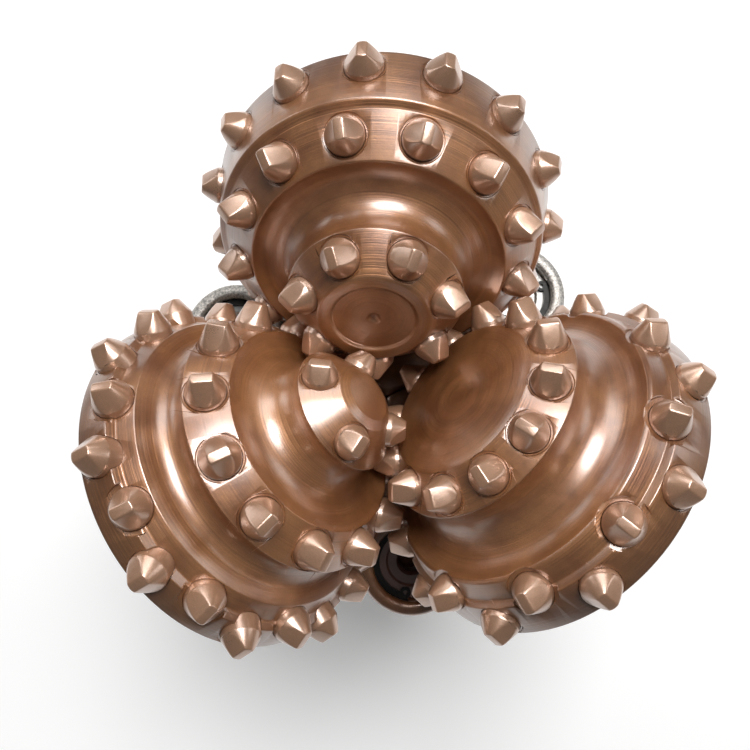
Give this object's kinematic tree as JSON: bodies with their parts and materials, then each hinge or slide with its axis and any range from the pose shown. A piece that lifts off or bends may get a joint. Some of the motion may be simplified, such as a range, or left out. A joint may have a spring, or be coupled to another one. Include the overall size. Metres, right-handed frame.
{
  "type": "tricone drill bit",
  "caption": "Roller cone rock bit: cones with pressed hard-metal inserts turn on sealed journals of welded legs, over a tapered threaded pin with a water bore and jet nozzles.",
  "frame": {"origin": "centre of the pin's end face, on the bit axis, at the mouth of the water bore", "axes": "+Z along the bit axis from the pin to the cones; +Y through the middle of leg A"},
  "size_m": [0.2113, 0.2034, 0.3235],
  "materials": {
    "leg_steel": "sprayed bronze-coloured paint over machined alloy steel",
    "cone_steel": "sprayed bronze-coloured paint over turned alloy steel",
    "gauge_carbide": "bronze paint over sintered tungsten carbide",
    "cutting_carbide": "bronze paint over sintered tungsten carbide",
    "heel_carbide": "ground tungsten carbide",
    "bushing_bronze": "silver-plated bearing bronze",
    "hard_washer": "lapped hard-faced steel",
    "ball_steel": "polished bearing steel",
    "seal_rubber": "nitrile rubber",
    "plug_steel": "machined steel, welded over",
    "cup_steel": "pressed steel",
    "diaphragm_rubber": "moulded nitrile rubber",
    "cap_steel": "bronze paint over turned steel",
    "spring_steel": "phosphated spring steel",
    "shirttail_carbide": "ground tungsten carbide",
    "boss_steel": "bare grit-blasted cast steel",
    "nozzle_carbide": "ground tungsten carbide"
  },
  "bodies": {
    "bit_body": {"leg_a": "leg_steel", "leg_b": "leg_steel", "leg_c": "leg_steel", "thrust_washer_a": "hard_washer", "thrust_washer_b": "hard_washer", "thrust_washer_c": "hard_washer", "seal_ring_a": "seal_rubber", "seal_ring_b": "seal_rubber", "seal_ring_c": "seal_rubber", "ball_plug_a": "plug_steel", "ball_plug_b": "plug_steel", "ball_plug_c": "plug_steel", "reservoir_cup_a": "cup_steel", "reservoir_cup_b": "cup_steel", "reservoir_cup_c": "cup_steel", "diaphragm_a": "diaphragm_rubber", "diaphragm_b": "diaphragm_rubber", "diaphragm_c": "diaphragm_rubber", "reservoir_cap_a": "cap_steel", "reservoir_cap_b": "cap_steel", "reservoir_cap_c": "cap_steel", "reservoir_snap_rings": "spring_steel", "shirttail_buttons": "shirttail_carbide", "jet_boss_a": "boss_steel", "jet_boss_b": "boss_steel", "jet_boss_c": "boss_steel", "nozzle_a": "nozzle_carbide", "nozzle_b": "nozzle_carbide", "nozzle_c": "nozzle_carbide", "nozzle_snap_rings": "spring_steel", "nozzle_seal_rings": "seal_rubber", "pin_thread": "leg_steel"},
    "cone_a_set": {"cone_a": "cone_steel", "gauge_inserts_a": "gauge_carbide", "heel_buttons_a": "heel_carbide", "pilot_bushing_a": "bushing_bronze", "thrust_button_a": "hard_washer", "middle_inserts_a": "cutting_carbide", "nose_inserts_a": "cutting_carbide"},
    "bushing_a": {"floating_bushing_a": "bushing_bronze"},
    "ball_set_a": {"retaining_balls_a": "ball_steel"},
    "cone_b_set": {"cone_b": "cone_steel", "gauge_inserts_b": "gauge_carbide", "heel_buttons_b": "heel_carbide", "pilot_bushing_b": "bushing_bronze", "thrust_button_b": "hard_washer", "second_inserts_b": "cutting_carbide", "inner_inserts_b": "cutting_carbide"},
    "bushing_b": {"floating_bushing_b": "bushing_bronze"},
    "ball_set_b": {"retaining_balls_b": "ball_steel"},
    "cone_c_set": {"cone_c": "cone_steel", "gauge_inserts_c": "gauge_carbide", "heel_buttons_c": "heel_carbide", "pilot_bushing_c": "bushing_bronze", "thrust_button_c": "hard_washer", "second_inserts_c": "cutting_carbide", "inner_inserts_c": "cutting_carbide", "nose_inserts_c": "cutting_carbide"},
    "bushing_c": {"floating_bushing_c": "bushing_bronze"},
    "ball_set_c": {"retaining_balls_c": "ball_steel"}
  },
  "joints": [
    {"name": "cone_a_spin", "type": "hinge", "parent": "bit_body", "child": "cone_a_set", "pos_m": [-0.006, 0, 0.3], "axis": [0, 0.8387, -0.5446], "continuous": true},
    {"name": "bushing_a_creep", "type": "hinge", "parent": "bit_body", "child": "bushing_a", "pos_m": [-0.006, 0, 0.3], "axis": [0, 0.8387, -0.5446], "continuous": true},
    {"name": "ball_set_a_orbit", "type": "hinge", "parent": "bit_body", "child": "ball_set_a", "pos_m": [-0.006, 0, 0.3], "axis": [0, 0.8387, -0.5446], "continuous": true},
    {"name": "cone_b_spin", "type": "hinge", "parent": "bit_body", "child": "cone_b_set", "pos_m": [0.003, 0.0052, 0.3], "axis": [0.7263, -0.4193, -0.5446], "continuous": true},
    {"name": "bushing_b_creep", "type": "hinge", "parent": "bit_body", "child": "bushing_b", "pos_m": [0.003, 0.0052, 0.3], "axis": [0.7263, -0.4193, -0.5446], "continuous": true},
    {"name": "ball_set_b_orbit", "type": "hinge", "parent": "bit_body", "child": "ball_set_b", "pos_m": [0.003, 0.0052, 0.3], "axis": [0.7263, -0.4193, -0.5446], "continuous": true},
    {"name": "cone_c_spin", "type": "hinge", "parent": "bit_body", "child": "cone_c_set", "pos_m": [0.003, -0.0052, 0.3], "axis": [-0.7263, -0.4193, -0.5446], "continuous": true},
    {"name": "bushing_c_creep", "type": "hinge", "parent": "bit_body", "child": "bushing_c", "pos_m": [0.003, -0.0052, 0.3], "axis": [-0.7263, -0.4193, -0.5446], "continuous": true},
    {"name": "ball_set_c_orbit", "type": "hinge", "parent": "bit_body", "child": "ball_set_c", "pos_m": [0.003, -0.0052, 0.3], "axis": [-0.7263, -0.4193, -0.5446], "continuous": true}
  ],
  "couplings": [
    {"joint": "bushing_a_creep", "follows": "cone_a_spin", "ratio": 0.5},
    {"joint": "ball_set_a_orbit", "follows": "cone_a_spin", "ratio": 0.6275},
    {"joint": "bushing_b_creep", "follows": "cone_b_spin", "ratio": 0.5},
    {"joint": "ball_set_b_orbit", "follows": "cone_b_spin", "ratio": 0.6275},
    {"joint": "bushing_c_creep", "follows": "cone_c_spin", "ratio": 0.5},
    {"joint": "ball_set_c_orbit", "follows": "cone_c_spin", "ratio": 0.6275}
  ]
}
